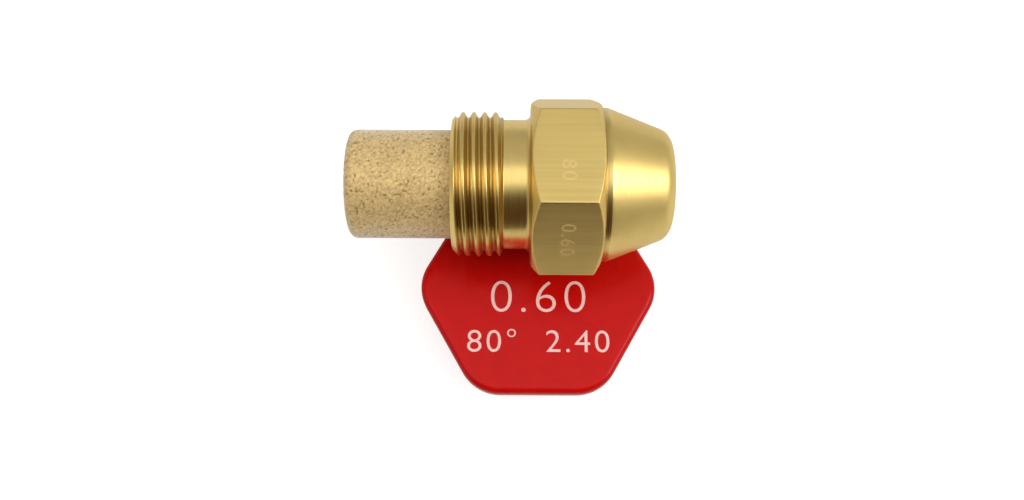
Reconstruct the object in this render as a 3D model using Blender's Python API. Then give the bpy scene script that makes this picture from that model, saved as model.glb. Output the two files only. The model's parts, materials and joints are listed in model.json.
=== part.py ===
"""Oil burner nozzle lying on the lid of its storage tube.

The nozzle body is turned from hexagon brass bar. Oil enters through the sintered filter at the rear,
runs through the hollow retaining screw and round the distributor, and is spun by the distributor's
tangential slots in the conical chamber of the orifice disc before it leaves the nose as a spray.

Units are metres and +Z is up. The nozzle's axis lies along X with the spray towards +X. The origin
is the middle of the whole set, at table level.
"""

import math

import bmesh
import bpy
from mathutils import Matrix

# Body, from the rear seat to the nose
THREAD_MAJOR_RADIUS = 0.00710
THREAD_LENGTH = 0.00500
THREAD_PITCH = 0.0254 / 24.0
THREAD_DEPTH = 0.00055
THREAD_ROOT_WIDTH = 0.00018
THREAD_FLANK_DEG = 30.0
THREAD_START_TURN = 0.621
LEAD_CHAMFER = 0.00065
NECK_RADIUS = 0.00635
NECK_LENGTH = 0.00260
NECK_FILLET = 0.00060
HEX_ACROSS_FLATS = 0.01600
HEX_LENGTH = 0.00690
HEX_CHAMFER_START_RADIUS = 0.00780
HEX_CHAMFER_DEG = 30.0
NOSE_COLLAR_LENGTH = 0.00055
NOSE_BASE_RADIUS = 0.00758
NOSE_LENGTH = 0.00630
NOSE_HALF_ANGLE_DEG = 21.4
NOSE_EDGE_RADIUS = 0.00180
NOSE_WALL = 0.00105
FRONT_RING_WIDTH = 0.00020
SPRAY_MOUTH_CHAMFER = 0.00040

# Orifice disc
DISC_RADIUS = 0.00360
DISC_THICKNESS = 0.00300
DISC_BOSS_RADIUS = 0.00220
DISC_BOSS_LENGTH = 0.00090
SWIRL_MOUTH_RADIUS = 0.00240
SWIRL_HALF_ANGLE_DEG = 45.0
ORIFICE_RADIUS = 0.00020
ORIFICE_LENGTH = 0.00030
EXIT_RADIUS = 0.00120

# Distributor
DISTRIBUTOR_RADIUS = 0.00320
DISTRIBUTOR_LENGTH = 0.00480
DISTRIBUTOR_TIP_RADIUS = 0.00070
SWIRL_SLOT_COUNT = 4
SWIRL_SLOT_WIDTH = 0.00045
SWIRL_SLOT_DEPTH = 0.00040
SWIRL_SLOT_OFFSET = 0.00060
FEED_SLOT_COUNT = 2
FEED_SLOT_WIDTH = 0.00090
FEED_SLOT_DEPTH = 0.00080

# Retaining screw
SCREW_RADIUS = 0.00450
SCREW_LENGTH = 0.00660
SCREW_CHAMFER = 0.00040
SCREW_RUNOUT = 0.00100
SCREW_BORE_RADIUS = 0.00140
BOSS_LENGTH = 0.00360
DRIVER_SLOT_WIDTH = 0.00090
DRIVER_SLOT_DEPTH = 0.00110

# Filter and the ring that carries it
BASE_FLANGE_THICKNESS = 0.00080
BASE_SLEEVE_LENGTH = 0.00220
BASE_SLEEVE_WALL = 0.00075
FILTER_RADIUS = 0.00535
FILTER_WALL = 0.00140
FILTER_LENGTH = 0.01390
FILTER_END_RADIUS = 0.00080
FILTER_FLOOR_RADIUS = 0.00040

# Lid of the storage tube
CAP_ACROSS_FLATS = 0.02240
CAP_CORNER_RADIUS = 0.00450
CAP_HEAD_THICKNESS = 0.00180
CAP_EDGE_RADIUS = 0.00070
PLUG_RADIUS = 0.01020
PLUG_WALL = 0.00120
PLUG_DEPTH = 0.00500
PLUG_LEAD_CHAMFER = 0.00040
PLUG_BEAD_HEIGHT = 0.00020
PLUG_BEAD_LENGTH = 0.00100

# How the nozzle lies on the lid
AXIS_BEHIND_CAP_CENTRE = 0.00824
CAP_CENTRE_AHEAD_OF_SEAT = 0.00857

# Clearances
FIT_CLEARANCE = 0.00010
FILTER_SOCKET_CLEARANCE = 0.00020
REST_GAP = 0.00010

# Smoothness of the round forms
BODY_SEGMENTS = 72
THREAD_SEGMENTS = 48
INNER_SEGMENTS = 40
ARC_STEPS = 5
CORNER_STEPS = 6
SMOOTH_ANGLE_DEG = 35.0
WELD_DISTANCE = 1e-7
TURNING_ALLOWANCE = 0.00010
THREAD_ALLOWANCE = 0.00005
CUT_MARGIN = 0.00100

# Places along the nozzle's axis, counted from the rear seat
NECK_X = THREAD_LENGTH
HEX_X = NECK_X + NECK_LENGTH
COLLAR_X = HEX_X + HEX_LENGTH
NOSE_X = COLLAR_X + NOSE_COLLAR_LENGTH
FRONT_X = NOSE_X + NOSE_LENGTH
DISC_SEAT_X = FRONT_X - NOSE_WALL
DISC_REAR_X = DISC_SEAT_X - FIT_CLEARANCE - DISC_THICKNESS
SWIRL_SLOPE = math.tan(math.radians(SWIRL_HALF_ANGLE_DEG))
CONE_BASE_X = DISC_REAR_X - FIT_CLEARANCE - (DISTRIBUTOR_RADIUS - SWIRL_MOUTH_RADIUS) / SWIRL_SLOPE
DISTRIBUTOR_REAR_X = CONE_BASE_X - DISTRIBUTOR_LENGTH
SCREW_FRONT_X = DISTRIBUTOR_REAR_X - FIT_CLEARANCE
SCREW_SHOULDER_X = SCREW_FRONT_X - SCREW_LENGTH
FLANGE_FRONT_X = SCREW_SHOULDER_X - FIT_CLEARANCE
FLANGE_REAR_X = FLANGE_FRONT_X - BASE_FLANGE_THICKNESS
FILTER_RIM_X = FLANGE_REAR_X - FIT_CLEARANCE
FILTER_END_X = FILTER_RIM_X - FILTER_LENGTH

# Radii of the ring that carries the filter, from the filter inwards
BASE_SLEEVE_RADIUS = FILTER_RADIUS - FILTER_WALL - FIT_CLEARANCE
BASE_BORE_RADIUS = BASE_SLEEVE_RADIUS - BASE_SLEEVE_WALL
BOSS_RADIUS = BASE_BORE_RADIUS - FIT_CLEARANCE

# Place of the nozzle and the lid in the whole set
HEX_CORNER_RADIUS = HEX_ACROSS_FLATS / math.sqrt(3.0)
CAP_TOP_Z = PLUG_DEPTH + CAP_HEAD_THICKNESS
AXIS_Z = CAP_TOP_Z + REST_GAP + HEX_ACROSS_FLATS / 2.0
SET_FRONT_Y = -AXIS_BEHIND_CAP_CENTRE - CAP_ACROSS_FLATS / 2.0
SET_BACK_Y = max(HEX_CORNER_RADIUS, CAP_ACROSS_FLATS / 2.0 - AXIS_BEHIND_CAP_CENTRE)
AXIS_Y = -(SET_FRONT_Y + SET_BACK_Y) / 2.0
SEAT_X = -(FILTER_END_X + FRONT_X) / 2.0
CAP_X = SEAT_X + CAP_CENTRE_AHEAD_OF_SEAT
CAP_Y = AXIS_Y - AXIS_BEHIND_CAP_CENTRE


def clear_scene():
    """Take every object out of the open scene."""
    for old in list(bpy.data.objects):
        bpy.data.objects.remove(old, do_unlink=True)


def finish(name, colour, roughness, metallic):
    """Principled material for one piece."""
    material = bpy.data.materials.new(name)
    material.use_nodes = True
    shader = material.node_tree.nodes["Principled BSDF"]
    shader.inputs["Base Color"].default_value = (*colour, 1.0)
    shader.inputs["Roughness"].default_value = roughness
    shader.inputs["Metallic"].default_value = metallic
    return material


def empty(name, location):
    """Empty that carries the pieces of one group."""
    carrier = bpy.data.objects.new(name, None)
    carrier.location = location
    bpy.context.collection.objects.link(carrier)
    return carrier


def piece(name, shape, parent, location, material=None):
    """Object made from a bmesh, placed under its carrier, shaded smooth with sharp edges kept."""
    mesh = bpy.data.meshes.new(name)
    bmesh.ops.recalc_face_normals(shape, faces=shape.faces)
    shape.to_mesh(mesh)
    shape.free()
    mesh.shade_smooth()
    mesh.set_sharp_from_angle(angle=math.radians(SMOOTH_ANGLE_DEG))
    made = bpy.data.objects.new(name, mesh)
    made.parent = parent
    made.location = location
    if material:
        mesh.materials.append(material)
    bpy.context.collection.objects.link(made)
    return made


def combine(target, tool, operation):
    """Boolean of a piece with a tool that is left out of the model."""
    tool.hide_render = True
    tool.display_type = "WIRE"
    step = target.modifiers.new(tool.name, "BOOLEAN")
    step.operation = operation
    step.solver = "EXACT"
    step.object = tool


def arc(centre_x, centre_r, radius, start_deg, end_deg):
    """Points (x, r) on a circular arc, angles from +X towards +r, both ends included."""
    points = []
    for i in range(ARC_STEPS + 1):
        angle = math.radians(start_deg + (end_deg - start_deg) * i / ARC_STEPS)
        points.append((centre_x + radius * math.cos(angle), centre_r + radius * math.sin(angle)))
    return points


def turned(outline, segments):
    """Closed (x, r) outline spun one full turn round the X axis."""
    shape = bmesh.new()
    ring = [shape.verts.new((x, 0.0, r)) for x, r in outline]
    edges = []
    for i in range(len(ring)):
        on_axis = outline[i - 1][1] == 0.0 and outline[i][1] == 0.0
        if not on_axis:
            edges.append(shape.edges.new((ring[i - 1], ring[i])))
    bmesh.ops.spin(shape, geom=ring + edges, cent=(0.0, 0.0, 0.0), axis=(1.0, 0.0, 0.0),
                   angle=2.0 * math.pi, steps=segments, use_merge=True)
    bmesh.ops.remove_doubles(shape, verts=shape.verts, dist=WELD_DISTANCE)
    bmesh.ops.dissolve_degenerate(shape, edges=shape.edges, dist=WELD_DISTANCE)
    return shape


def hexagon_bar(across_flats, length):
    """Hexagon prism along Z from z = 0, with two corners on the X axis."""
    shape = bmesh.new()
    corner_radius = across_flats / math.sqrt(3.0)
    corners = []
    for i in range(6):
        angle = math.radians(60.0 * i)
        across = corner_radius * math.cos(angle)
        along = corner_radius * math.sin(angle)
        corners.append(shape.verts.new((across, along, 0.0)))
    base = shape.faces.new(corners)
    raised = bmesh.ops.extrude_face_region(shape, geom=[base], use_keep_orig=True)
    top = [item for item in raised["geom"] if isinstance(item, bmesh.types.BMVert)]
    bmesh.ops.translate(shape, verts=top, vec=(0.0, 0.0, length))
    return shape


def block(size, matrix):
    """Box of the given size, centred on the origin and then placed by a matrix."""
    shape = bmesh.new()
    bmesh.ops.create_cube(shape, size=1.0, matrix=matrix @ Matrix.Diagonal((*size, 1.0)))
    return shape


def thread_groove():
    """Groove of the right-hand shank thread: a tapered section carried along a helix.

    It runs in from behind the rear seat and out over the neck, so both of its ends lie clear of the body.
    """
    root_radius = THREAD_MAJOR_RADIUS - THREAD_DEPTH
    top_radius = THREAD_MAJOR_RADIUS + THREAD_ALLOWANCE
    root_half = THREAD_ROOT_WIDTH / 2.0
    top_half = root_half + (top_radius - root_radius) * math.tan(math.radians(THREAD_FLANK_DEG))
    section = [
        (-root_half, root_radius),
        (root_half, root_radius),
        (top_half, top_radius),
        (-top_half, top_radius),
    ]
    start_x = (THREAD_START_TURN - 2.0) * THREAD_PITCH
    turns = math.ceil((THREAD_LENGTH + top_half - start_x) / THREAD_PITCH)
    shape = bmesh.new()
    rings = []
    for i in range(turns * THREAD_SEGMENTS + 1):
        turn = i / THREAD_SEGMENTS
        angle = 2.0 * math.pi * turn
        middle_x = start_x + turn * THREAD_PITCH
        ring = []
        for along, radius in section:
            across = -radius * math.sin(angle)
            up = radius * math.cos(angle)
            ring.append(shape.verts.new((middle_x + along, across, up)))
        rings.append(ring)
    for before, after in zip(rings, rings[1:]):
        for k in range(len(section)):
            shape.faces.new((before[k - 1], before[k], after[k], after[k - 1]))
    shape.faces.new(rings[0])
    shape.faces.new(rings[-1])
    return shape


def nose_outline(mouth_edge_radius):
    """Cone of the nose and the rounding into its front face, from the collar forward.

    The rounding is no larger than the narrowest flat ring leaves room for.
    """
    slope = math.tan(math.radians(NOSE_HALF_ANGLE_DEG))
    corner_radius = NOSE_BASE_RADIUS - NOSE_LENGTH * slope
    half_corner = math.radians(90.0 + NOSE_HALF_ANGLE_DEG) / 2.0
    room = (corner_radius - mouth_edge_radius - FRONT_RING_WIDTH) * math.tan(half_corner)
    rounding = min(NOSE_EDGE_RADIUS, room)
    centre_x = FRONT_X - rounding
    centre_r = corner_radius - rounding / math.tan(half_corner)
    start_deg = 90.0 - NOSE_HALF_ANGLE_DEG
    return [(NOSE_X, NOSE_BASE_RADIUS)] + arc(centre_x, centre_r, rounding, start_deg, 0.0)


def body_outline():
    """Outside of the body from the rear seat to the nose, then back through its bores."""
    lead_radius = THREAD_MAJOR_RADIUS - LEAD_CHAMFER
    neck_step = THREAD_MAJOR_RADIUS - NECK_RADIUS
    bar_radius = HEX_CORNER_RADIUS + TURNING_ALLOWANCE
    chamfer_length = (bar_radius - HEX_CHAMFER_START_RADIUS) * math.tan(math.radians(HEX_CHAMFER_DEG))
    mouth_radius = DISC_BOSS_RADIUS + FIT_CLEARANCE
    mouth_edge_radius = mouth_radius + SPRAY_MOUTH_CHAMFER
    chamber_radius = DISC_RADIUS + FIT_CLEARANCE
    thread_bore_radius = SCREW_RADIUS + FIT_CLEARANCE
    socket_radius = FILTER_RADIUS + FILTER_SOCKET_CLEARANCE
    outside = [
        (0.0, lead_radius),
        (LEAD_CHAMFER, THREAD_MAJOR_RADIUS),
        (NECK_X - neck_step / 2.0, THREAD_MAJOR_RADIUS),
        (NECK_X, NECK_RADIUS),
    ]
    outside += arc(HEX_X - NECK_FILLET, NECK_RADIUS + NECK_FILLET, NECK_FILLET, -90.0, 0.0)
    outside += [
        (HEX_X, HEX_CHAMFER_START_RADIUS),
        (HEX_X + chamfer_length, bar_radius),
        (COLLAR_X - chamfer_length, bar_radius),
        (COLLAR_X, HEX_CHAMFER_START_RADIUS),
        (COLLAR_X, NOSE_BASE_RADIUS),
    ]
    outside += nose_outline(mouth_edge_radius)
    inside = [
        (FRONT_X, mouth_edge_radius),
        (FRONT_X - SPRAY_MOUTH_CHAMFER, mouth_radius),
        (DISC_SEAT_X, mouth_radius),
        (DISC_SEAT_X, chamber_radius),
        (SCREW_FRONT_X + SCREW_RUNOUT, chamber_radius),
        (SCREW_FRONT_X + SCREW_RUNOUT, thread_bore_radius),
        (SCREW_SHOULDER_X, thread_bore_radius),
        (SCREW_SHOULDER_X, socket_radius),
        (0.0, socket_radius),
    ]
    return outside + inside


def make_nozzle_body(carrier):
    """Turned body left between the flats of the hexagon bar, with the thread cut into its shank."""
    brass = finish("machined_brass", (0.62, 0.45, 0.14), 0.28, 1.0)
    body = piece("nozzle_body", turned(body_outline(), BODY_SEGMENTS), carrier, (0.0, 0.0, 0.0), brass)
    bar_length = FRONT_X + 2.0 * CUT_MARGIN
    bar = hexagon_bar(HEX_ACROSS_FLATS, bar_length)
    lay_down = Matrix.Rotation(math.radians(90.0), 4, "Y") @ Matrix.Rotation(math.radians(90.0), 4, "Z")
    bmesh.ops.transform(bar, matrix=lay_down, verts=bar.verts)
    stock = piece("hexagon_stock", bar, carrier, (-CUT_MARGIN, 0.0, 0.0))
    combine(body, stock, "INTERSECT")
    groove = piece("thread_groove", thread_groove(), carrier, (0.0, 0.0, 0.0))
    combine(body, groove, "DIFFERENCE")
    return body


def make_orifice_disc(carrier):
    """Disc with the conical swirl chamber at the rear, the orifice and the flared exit in front."""
    steel = finish("polished_stainless_steel", (0.56, 0.55, 0.53), 0.18, 1.0)
    orifice_x = (SWIRL_MOUTH_RADIUS - ORIFICE_RADIUS) / SWIRL_SLOPE
    front_x = DISC_THICKNESS + DISC_BOSS_LENGTH
    outline = [
        (0.0, SWIRL_MOUTH_RADIUS),
        (0.0, DISC_RADIUS),
        (DISC_THICKNESS, DISC_RADIUS),
        (DISC_THICKNESS, DISC_BOSS_RADIUS),
        (front_x, DISC_BOSS_RADIUS),
        (front_x, EXIT_RADIUS),
        (orifice_x + ORIFICE_LENGTH, ORIFICE_RADIUS),
        (orifice_x, ORIFICE_RADIUS),
    ]
    return piece("orifice_disc", turned(outline, INNER_SEGMENTS), carrier, (DISC_REAR_X, 0.0, 0.0), steel)


def swirl_slot_matrix(index):
    """Place of one slot's tool: along the cone's slope, beside the axis, turned to its share of a turn."""
    half_angle = math.radians(SWIRL_HALF_ANGLE_DEG)
    middle_radius = (DISTRIBUTOR_RADIUS + DISTRIBUTOR_TIP_RADIUS) / 2.0
    middle_x = DISTRIBUTOR_LENGTH + (DISTRIBUTOR_RADIUS - middle_radius) / SWIRL_SLOPE
    turn = Matrix.Rotation(2.0 * math.pi * index / SWIRL_SLOT_COUNT, 4, "X")
    to_slope = Matrix.Translation((middle_x, SWIRL_SLOT_OFFSET, middle_radius))
    lean = Matrix.Rotation(half_angle, 4, "Y")
    return turn @ to_slope @ lean


def make_distributor(carrier):
    """Plug with a slotted cone in front and crossed feed slots in its rear face."""
    steel = finish("turned_stainless_steel", (0.50, 0.49, 0.47), 0.30, 1.0)
    tip_x = DISTRIBUTOR_LENGTH + (DISTRIBUTOR_RADIUS - DISTRIBUTOR_TIP_RADIUS) / SWIRL_SLOPE
    outline = [
        (0.0, 0.0),
        (0.0, DISTRIBUTOR_RADIUS),
        (DISTRIBUTOR_LENGTH, DISTRIBUTOR_RADIUS),
        (tip_x, DISTRIBUTOR_TIP_RADIUS),
        (tip_x, 0.0),
    ]
    place = (DISTRIBUTOR_REAR_X, 0.0, 0.0)
    plug = piece("distributor", turned(outline, INNER_SEGMENTS), carrier, place, steel)
    cone_length = math.hypot(tip_x - DISTRIBUTOR_LENGTH, DISTRIBUTOR_RADIUS - DISTRIBUTOR_TIP_RADIUS)
    slot_size = (cone_length + 2.0 * CUT_MARGIN, SWIRL_SLOT_WIDTH, 2.0 * SWIRL_SLOT_DEPTH)
    for i in range(SWIRL_SLOT_COUNT):
        tool = piece(f"swirl_slot_{i + 1}", block(slot_size, swirl_slot_matrix(i)), carrier, place)
        combine(plug, tool, "DIFFERENCE")
    feed_size = (2.0 * FEED_SLOT_DEPTH, FEED_SLOT_WIDTH, 2.0 * DISTRIBUTOR_RADIUS + 2.0 * CUT_MARGIN)
    for i in range(FEED_SLOT_COUNT):
        turn = Matrix.Rotation(math.pi * i / FEED_SLOT_COUNT, 4, "X")
        tool = piece(f"feed_slot_{i + 1}", block(feed_size, turn), carrier, place)
        combine(plug, tool, "DIFFERENCE")
    return plug


def make_retaining_screw(carrier):
    """Hollow screw with a rear boss for the filter's ring and a driver slot across the boss."""
    brass = finish("screw_brass", (0.58, 0.42, 0.14), 0.32, 1.0)
    end_x = BOSS_LENGTH + SCREW_LENGTH
    outline = [
        (0.0, SCREW_BORE_RADIUS),
        (0.0, BOSS_RADIUS),
        (BOSS_LENGTH, BOSS_RADIUS),
        (BOSS_LENGTH, SCREW_RADIUS - SCREW_CHAMFER),
        (BOSS_LENGTH + SCREW_CHAMFER, SCREW_RADIUS),
        (end_x - SCREW_CHAMFER, SCREW_RADIUS),
        (end_x, SCREW_RADIUS - SCREW_CHAMFER),
        (end_x, SCREW_BORE_RADIUS),
    ]
    place = (SCREW_SHOULDER_X - BOSS_LENGTH, 0.0, 0.0)
    screw = piece("retaining_screw", turned(outline, INNER_SEGMENTS), carrier, place, brass)
    slot_size = (2.0 * DRIVER_SLOT_DEPTH, DRIVER_SLOT_WIDTH, 2.0 * BOSS_RADIUS + 2.0 * CUT_MARGIN)
    tool = piece("driver_slot", block(slot_size, Matrix.Identity(4)), carrier, place)
    combine(screw, tool, "DIFFERENCE")
    return screw


def make_filter_base(carrier):
    """Ring on the screw's boss: a sleeve inside the filter and a flange against its rim."""
    brass = finish("ring_brass", (0.60, 0.44, 0.15), 0.30, 1.0)
    flange_end_x = BASE_SLEEVE_LENGTH + BASE_FLANGE_THICKNESS
    outline = [
        (0.0, BASE_BORE_RADIUS),
        (0.0, BASE_SLEEVE_RADIUS),
        (BASE_SLEEVE_LENGTH, BASE_SLEEVE_RADIUS),
        (BASE_SLEEVE_LENGTH, FILTER_RADIUS),
        (flange_end_x, FILTER_RADIUS),
        (flange_end_x, BASE_BORE_RADIUS),
    ]
    place = (FLANGE_REAR_X - BASE_SLEEVE_LENGTH, 0.0, 0.0)
    return piece("filter_base", turned(outline, INNER_SEGMENTS), carrier, place, brass)


def make_sintered_filter(carrier):
    """Cup with a rounded closed end at the rear and its open rim towards the body."""
    bronze = finish("sintered_bronze", (0.55, 0.40, 0.18), 0.75, 0.6)
    inner_radius = FILTER_RADIUS - FILTER_WALL
    end_round = arc(FILTER_END_RADIUS, FILTER_RADIUS - FILTER_END_RADIUS, FILTER_END_RADIUS, 180.0, 90.0)
    floor_x = FILTER_WALL + FILTER_FLOOR_RADIUS
    floor_round = arc(floor_x, inner_radius - FILTER_FLOOR_RADIUS, FILTER_FLOOR_RADIUS, 90.0, 180.0)
    outline = [(0.0, 0.0)] + end_round
    outline += [(FILTER_LENGTH, FILTER_RADIUS), (FILTER_LENGTH, inner_radius)]
    outline += floor_round + [(FILTER_WALL, 0.0)]
    place = (FILTER_END_X, 0.0, 0.0)
    return piece("sintered_filter", turned(outline, BODY_SEGMENTS), carrier, place, bronze)


def cap_head():
    """Hexagon plate with rounded corners and a rounded upper edge."""
    shape = hexagon_bar(CAP_ACROSS_FLATS, CAP_HEAD_THICKNESS)
    middle = CAP_HEAD_THICKNESS / 2.0
    uprights = []
    for edge in shape.edges:
        low, high = sorted(vertex.co.z for vertex in edge.verts)
        if low < middle < high:
            uprights.append(edge)
    corner_width = CAP_CORNER_RADIUS * math.tan(math.radians(30.0))
    bmesh.ops.bevel(shape, geom=uprights, offset=corner_width, offset_type="OFFSET", segments=CORNER_STEPS,
                    profile=0.5, affect="EDGES")
    rim = [edge for edge in shape.edges if min(v.co.z for v in edge.verts) > middle]
    bmesh.ops.bevel(shape, geom=rim, offset=CAP_EDGE_RADIUS, offset_type="OFFSET", segments=ARC_STEPS,
                    profile=0.5, affect="EDGES")
    return shape


def plug_wall():
    """Hollow round plug under the head, with a lead-in at its rim and a bead that snaps into the tube."""
    inner_radius = PLUG_RADIUS - PLUG_WALL
    bead_start = PLUG_DEPTH / 2.0 - PLUG_BEAD_LENGTH / 2.0
    root_z = PLUG_DEPTH + CAP_HEAD_THICKNESS / 2.0
    outline = [
        (0.0, inner_radius),
        (0.0, PLUG_RADIUS - PLUG_LEAD_CHAMFER),
        (PLUG_LEAD_CHAMFER, PLUG_RADIUS),
        (bead_start, PLUG_RADIUS),
        (PLUG_DEPTH / 2.0, PLUG_RADIUS + PLUG_BEAD_HEIGHT),
        (bead_start + PLUG_BEAD_LENGTH, PLUG_RADIUS),
        (root_z, PLUG_RADIUS),
        (root_z, inner_radius),
    ]
    shape = turned(outline, BODY_SEGMENTS)
    stand_up = Matrix.Rotation(math.radians(-90.0), 4, "Y")
    bmesh.ops.transform(shape, matrix=stand_up, verts=shape.verts)
    return shape


def make_tube_cap(carrier):
    """Moulded lid: hexagon head joined to the hollow plug that closes the tube."""
    red = finish("moulded_red_plastic", (0.52, 0.012, 0.010), 0.22, 0.0)
    head = piece("tube_cap", cap_head(), carrier, (0.0, 0.0, PLUG_DEPTH), red)
    plug = piece("plug_tool", plug_wall(), carrier, (0.0, 0.0, 0.0))
    combine(head, plug, "UNION")
    return head


def main():
    """Build the lid, and the nozzle on it."""
    clear_scene()
    make_tube_cap(empty("lid", (CAP_X, CAP_Y, 0.0)))
    nozzle = empty("nozzle_axis", (SEAT_X, AXIS_Y, AXIS_Z))
    make_nozzle_body(nozzle)
    make_orifice_disc(nozzle)
    make_distributor(nozzle)
    make_retaining_screw(nozzle)
    make_filter_base(nozzle)
    make_sintered_filter(nozzle)


main()
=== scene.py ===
"""Looks of an oil burner nozzle that lies on the lid of its storage tube.

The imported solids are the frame. The body, the filter, the filter's ring, the orifice disc and the lid are
made again here as fine surfaces worked out with numpy, and the two pieces that stay out of sight keep
their solids. Lengths are metres, +X points along the nozzle towards the spray and +Z points up.
"""

import json
import math

import bpy
import numpy as np
from mathutils import Matrix, Vector

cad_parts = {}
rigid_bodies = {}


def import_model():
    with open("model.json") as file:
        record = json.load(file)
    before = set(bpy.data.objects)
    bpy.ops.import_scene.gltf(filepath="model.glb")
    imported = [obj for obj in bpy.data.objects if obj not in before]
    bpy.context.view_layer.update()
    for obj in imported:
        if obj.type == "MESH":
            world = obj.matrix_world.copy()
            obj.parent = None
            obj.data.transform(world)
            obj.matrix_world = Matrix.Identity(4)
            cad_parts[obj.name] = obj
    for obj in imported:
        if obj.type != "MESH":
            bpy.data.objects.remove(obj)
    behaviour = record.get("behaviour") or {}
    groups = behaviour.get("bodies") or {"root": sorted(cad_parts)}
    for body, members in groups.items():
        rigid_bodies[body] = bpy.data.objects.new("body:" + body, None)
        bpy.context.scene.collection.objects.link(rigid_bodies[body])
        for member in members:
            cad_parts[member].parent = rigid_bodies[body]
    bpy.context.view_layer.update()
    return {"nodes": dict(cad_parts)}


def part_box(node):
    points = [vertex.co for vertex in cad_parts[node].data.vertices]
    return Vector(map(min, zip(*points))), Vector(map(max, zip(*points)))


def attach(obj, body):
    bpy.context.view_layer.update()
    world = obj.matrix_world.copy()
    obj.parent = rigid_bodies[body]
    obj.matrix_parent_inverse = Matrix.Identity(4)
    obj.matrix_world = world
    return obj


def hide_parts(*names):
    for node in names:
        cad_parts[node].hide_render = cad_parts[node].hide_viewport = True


bl_info = {
    "name": "Burner Nozzle Dressing",
    "version": (1, 0, 0),
    "blender": (4, 5, 0),
    "location": "View3D > Sidebar > Burner Nozzle",
    "description": "Dresses an oil burner nozzle and the lid of its tube",
    "category": "Object",
}

for leftover in list(bpy.data.objects):
    bpy.data.objects.remove(leftover, do_unlink=True)
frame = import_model()

MM = 0.001

# Places read from the frame
BODY_LOW, BODY_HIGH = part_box("nozzle_body")
DISC_LOW, DISC_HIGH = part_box("orifice_disc")
FILTER_LOW, FILTER_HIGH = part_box("sintered_filter")
RING_LOW, RING_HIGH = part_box("filter_base")
LID_LOW, LID_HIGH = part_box("tube_cap")
SEAT_X = BODY_LOW.x
AXIS_Y = (BODY_LOW.y + BODY_HIGH.y) / 2.0
AXIS_Z = (BODY_LOW.z + BODY_HIGH.z) / 2.0
FRONT_X = BODY_HIGH.x - SEAT_X
FLAT_RADIUS = (BODY_HIGH.z - BODY_LOW.z) / 2.0
FILTER_RADIUS = (FILTER_HIGH.y - FILTER_LOW.y) / 2.0
FILTER_END_X = FILTER_LOW.x - SEAT_X
FILTER_RIM_X = FILTER_HIGH.x - SEAT_X
RING_REAR_X = RING_LOW.x - SEAT_X
RING_FRONT_X = RING_HIGH.x - SEAT_X
DISC_RADIUS = (DISC_HIGH.y - DISC_LOW.y) / 2.0
DISC_REAR_X = DISC_LOW.x - SEAT_X
DISC_FRONT_X = DISC_HIGH.x - SEAT_X
LID_X = (LID_LOW.x + LID_HIGH.x) / 2.0
LID_Y = (LID_LOW.y + LID_HIGH.y) / 2.0
LID_TOP = LID_HIGH.z
LID_FLAT_RADIUS = (LID_HIGH.y - LID_LOW.y) / 2.0

# Body, counted from the rear seat
THREAD_RADIUS = 7.10 * MM
LEAD_CHAMFER = 0.65 * MM
THREAD_END_X = 4.625 * MM
NECK_X = 5.00 * MM
NECK_RADIUS = 6.35 * MM
NECK_FILLET = 0.60 * MM
HEX_X = 7.60 * MM
HEX_FACE_RADIUS = 7.80 * MM
HEX_CHAMFER = math.tan(math.radians(30.0))
HEX_EDGE_ROUNDING = 0.22 * MM
COLLAR_X = 14.50 * MM
NOSE_X = 15.05 * MM
NOSE_RADIUS = 7.58 * MM
NOSE_SLOPE = math.tan(math.radians(21.4))
NOSE_EDGE_RADIUS = 1.80 * MM
MOUTH_RADIUS = 2.30 * MM
MOUTH_CHAMFER = 0.40 * MM
DISC_SEAT_X = 20.30 * MM
CHAMBER_RADIUS = 3.70 * MM
CHAMBER_REAR_X = 12.40 * MM
SCREW_BORE_RADIUS = 4.60 * MM
SCREW_BORE_REAR_X = 4.80 * MM
SOCKET_RADIUS = 5.55 * MM
BROKEN_EDGE = 0.06 * MM
FLAT_TOLERANCE = BROKEN_EDGE / 4.0

# Filter, its ring and the orifice disc
FILTER_WALL = 1.40 * MM
FILTER_END_RADIUS = 0.80 * MM
FILTER_FLOOR_RADIUS = 0.40 * MM
RING_FLANGE = 0.80 * MM
RING_SLEEVE_RADIUS = 3.85 * MM
RING_BORE_RADIUS = 3.10 * MM
DISC_THICKNESS = 3.00 * MM
DISC_BOSS_RADIUS = 2.20 * MM
SWIRL_MOUTH_RADIUS = 2.40 * MM
ORIFICE_RADIUS = 0.20 * MM
ORIFICE_LENGTH = 0.30 * MM
EXIT_RADIUS = 1.20 * MM

# Lid
LID_CORNER_RADIUS = 4.50 * MM
LID_EDGE_RADIUS = 0.70 * MM
LID_LOWER_EDGE_RADIUS = 0.15 * MM
PLUG_DEPTH = 5.00 * MM
PLUG_RADIUS = 10.20 * MM
PLUG_WALL = 1.20 * MM
PLUG_LEAD_CHAMFER = 0.40 * MM
BEAD_HEIGHT = 0.20 * MM
BEAD_LENGTH = 1.00 * MM

# Numbers stamped on two flats
STAMP_DEPTH = 0.02 * MM
STAMP_BELOW = 0.3 * STAMP_DEPTH
STAMP_HEIGHT = 1.35 * MM
UPPER_STAMP_WIDTH = 2.0 * MM
UPPER_STAMP_ACROSS = -1.45 * MM
FRONT_STAMP_WIDTH = 4.0 * MM
FRONT_FLAT_DEG = 60.0

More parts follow.
